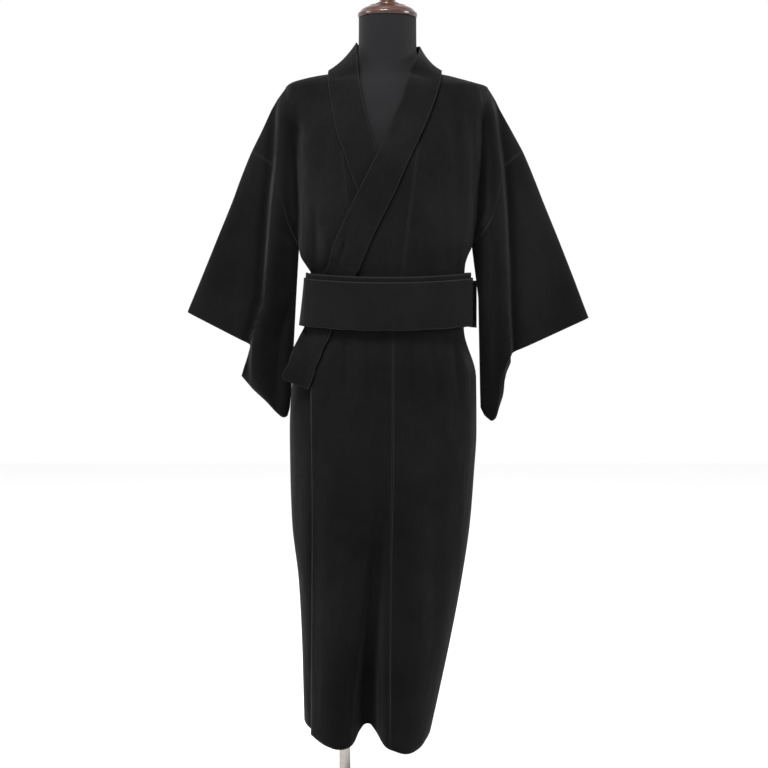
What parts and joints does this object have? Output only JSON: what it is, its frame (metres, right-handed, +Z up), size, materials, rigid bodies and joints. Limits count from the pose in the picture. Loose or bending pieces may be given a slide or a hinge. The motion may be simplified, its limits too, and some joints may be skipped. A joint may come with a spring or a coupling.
{
  "type": "yukata robe on dress form",
  "caption": "Dark cotton yukata robe, closed left over right and tied with a flat obi, worn on a limbless dress form with an offset pole and a round base.",
  "frame": {"origin": "on the floor, under the middle of the robe, in the plane of the base's underside", "axes": "+Z up, -Y the front of the robe, +X the wearer's left"},
  "size_m": [0.7816, 0.38, 1.612],
  "materials": {
    "cotton": "matte, fine plain weave",
    "obi_cloth": "matte, stiff ribbed weave",
    "jersey": "matte knit over a padded form",
    "turned_wood": "glossy dark varnish",
    "chrome": "polished chrome plate"
  },
  "bodies": {
    "root": {"base_plate": "chrome", "pole": "chrome", "pole_collar": "chrome", "form_torso": "jersey", "neck_cap": "turned_wood", "cap_finial": "turned_wood", "body_right": "cotton", "body_left": "cotton", "okumi_right": "cotton", "okumi_left": "cotton", "collar": "cotton", "sleeve_right": "cotton", "sleeve_left": "cotton", "obi_inner_wrap": "obi_cloth", "obi_outer_wrap": "obi_cloth", "obi_knot": "obi_cloth", "obi_knot_tail": "obi_cloth"}
  },
  "joints": []
}
